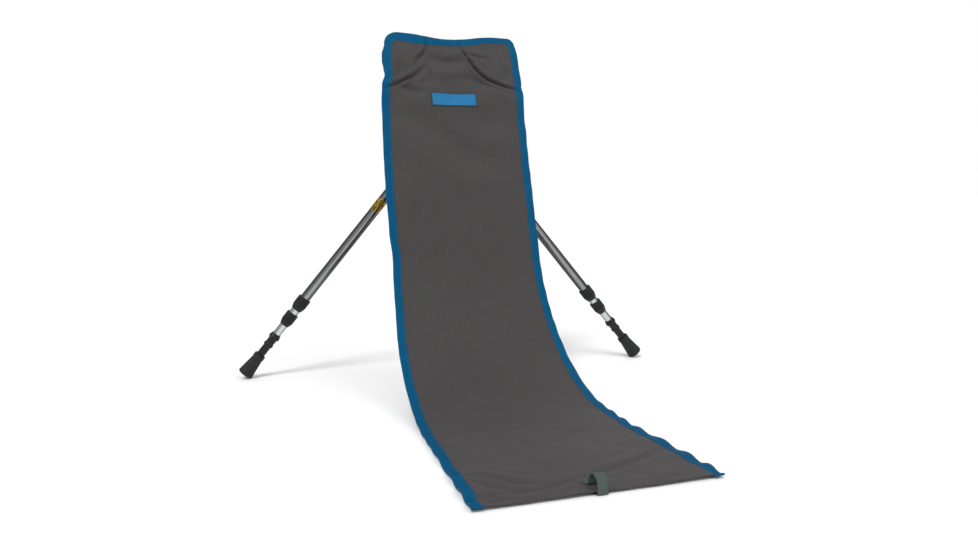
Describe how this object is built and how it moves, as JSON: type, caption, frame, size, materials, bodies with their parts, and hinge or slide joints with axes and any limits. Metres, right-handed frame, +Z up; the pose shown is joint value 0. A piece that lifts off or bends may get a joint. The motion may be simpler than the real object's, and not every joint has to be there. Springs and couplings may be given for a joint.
{
  "type": "ultralight backpacking chair",
  "caption": "Legless ground chair: a narrow bound cloth sling for seat and back, hung by rear corner pockets on two crossed telescoping trekking poles.",
  "frame": {"origin": "on the floor, at the middle of the footprint of the chair as it stands", "axes": "+X to the chair's right as seen from the front (towards the right foot of the poles), -Y towards the front edge of the seat, +Z up"},
  "size_m": [0.7496, 0.6484, 0.5945],
  "materials": {
    "sling_cloth": "dark warm grey woven nylon with a fine ribbed weave",
    "pocket_cloth": "dark grey woven nylon",
    "blue_binding": "teal blue grosgrain tape, folded and stitched",
    "loop_webbing": "pale grey green webbing",
    "label_cloth": "bright blue woven label, plain",
    "strap_webbing": "black webbing",
    "foot_rubber": "moulded black rubber",
    "carbide": "ground carbide",
    "black_plastic": "moulded black plastic",
    "bare_tube": "bright anodised aluminium",
    "dark_tube": "dark gunmetal anodised aluminium",
    "gold_mark": "gold printed ring",
    "grip_foam": "black grip foam",
    "lock_plastic": "red nylon expander",
    "lock_screw": "steel lock screw"
  },
  "bodies": {
    "seat": {"seat_panel": "sling_cloth", "front_hem": "sling_cloth", "seat_binding_left": "blue_binding", "seat_binding_right": "blue_binding", "rollup_loop": "loop_webbing"},
    "backrest": {"back_panel": "sling_cloth", "top_binding": "blue_binding", "back_binding_left": "blue_binding", "back_binding_right": "blue_binding", "label_patch": "label_cloth", "left_pocket": "pocket_cloth", "right_pocket": "pocket_cloth", "pole_strap": "strap_webbing"},
    "left_pole_upper": {"left_upper_tube": "dark_tube", "left_tube_band": "gold_mark", "left_upper_collar": "black_plastic", "left_grip": "grip_foam", "left_grip_cap": "black_plastic"},
    "left_upper_lock": {"left_upper_expander": "lock_plastic"},
    "left_pole_middle": {"left_middle_tube": "bare_tube", "left_middle_collar": "black_plastic", "left_upper_lock_screw": "lock_screw"},
    "left_lower_lock": {"left_lower_expander": "lock_plastic"},
    "left_pole_lower": {"left_lower_tube": "bare_tube", "left_lower_lock_screw": "lock_screw", "left_ferrule": "black_plastic", "left_carbide_tip": "carbide"},
    "left_foot": {"left_rubber_foot": "foot_rubber"},
    "right_pole_upper": {"right_upper_tube": "dark_tube", "right_tube_band": "gold_mark", "right_upper_collar": "black_plastic", "right_grip": "grip_foam", "right_grip_cap": "black_plastic"},
    "right_upper_lock": {"right_upper_expander": "lock_plastic"},
    "right_pole_middle": {"right_middle_tube": "bare_tube", "right_middle_collar": "black_plastic", "right_upper_lock_screw": "lock_screw"},
    "right_lower_lock": {"right_lower_expander": "lock_plastic"},
    "right_pole_lower": {"right_lower_tube": "bare_tube", "right_lower_lock_screw": "lock_screw", "right_ferrule": "black_plastic", "right_carbide_tip": "carbide"},
    "right_foot": {"right_rubber_foot": "foot_rubber"}
  },
  "joints": [
    {"name": "backrest_fold", "type": "hinge", "parent": "seat", "child": "backrest", "pos_m": [0, -0.11616, 0.0026], "axis": [1, 0, 0], "range_deg": [0, 110]},
    {"name": "left_pole_pull_out", "type": "slide", "parent": "backrest", "child": "left_pole_upper", "axis": [-0.6346, 0.0534, -0.771], "range_m": [0, 0.024]},
    {"name": "left_middle_extend", "type": "slide", "parent": "left_pole_upper", "child": "left_upper_lock", "axis": [-0.6346, 0.0534, -0.771], "range_m": [-0.0075, 0.35]},
    {"name": "left_middle_twist", "type": "hinge", "parent": "left_upper_lock", "child": "left_pole_middle", "pos_m": [0.01651, 0.27877, 0.47076], "axis": [0.6346, -0.0534, 0.771], "range_deg": [0, 180]},
    {"name": "left_lower_extend", "type": "slide", "parent": "left_pole_middle", "child": "left_lower_lock", "axis": [-0.6346, 0.0534, -0.771], "range_m": [-0.0195, 0.32]},
    {"name": "left_lower_twist", "type": "hinge", "parent": "left_lower_lock", "child": "left_pole_lower", "pos_m": [-0.03426, 0.28304, 0.40908], "axis": [0.6346, -0.0534, 0.771], "range_deg": [0, 180]},
    {"name": "left_foot_pull_off", "type": "slide", "parent": "left_pole_lower", "child": "left_foot", "axis": [-0.6346, 0.0534, -0.771], "range_m": [0, 0.036]},
    {"name": "right_pole_pull_out", "type": "slide", "parent": "backrest", "child": "right_pole_upper", "axis": [0.6365, -0.0192, -0.771], "range_m": [0, 0.024]},
    {"name": "right_middle_extend", "type": "slide", "parent": "right_pole_upper", "child": "right_upper_lock", "axis": [0.6365, -0.0192, -0.771], "range_m": [-0.0075, 0.35]},
    {"name": "right_middle_twist", "type": "hinge", "parent": "right_upper_lock", "child": "right_pole_middle", "pos_m": [-0.01625, 0.25135, 0.47076], "axis": [-0.6365, 0.0192, 0.771], "range_deg": [0, 180]},
    {"name": "right_lower_extend", "type": "slide", "parent": "right_pole_middle", "child": "right_lower_lock", "axis": [0.6365, -0.0192, -0.771], "range_m": [-0.0195, 0.32]},
    {"name": "right_lower_twist", "type": "hinge", "parent": "right_lower_lock", "child": "right_pole_lower", "pos_m": [0.03467, 0.24982, 0.40908], "axis": [-0.6365, 0.0192, 0.771], "range_deg": [0, 180]},
    {"name": "right_foot_pull_off", "type": "slide", "parent": "right_pole_lower", "child": "right_foot", "axis": [0.6365, -0.0192, -0.771], "range_m": [0, 0.036]}
  ]
}
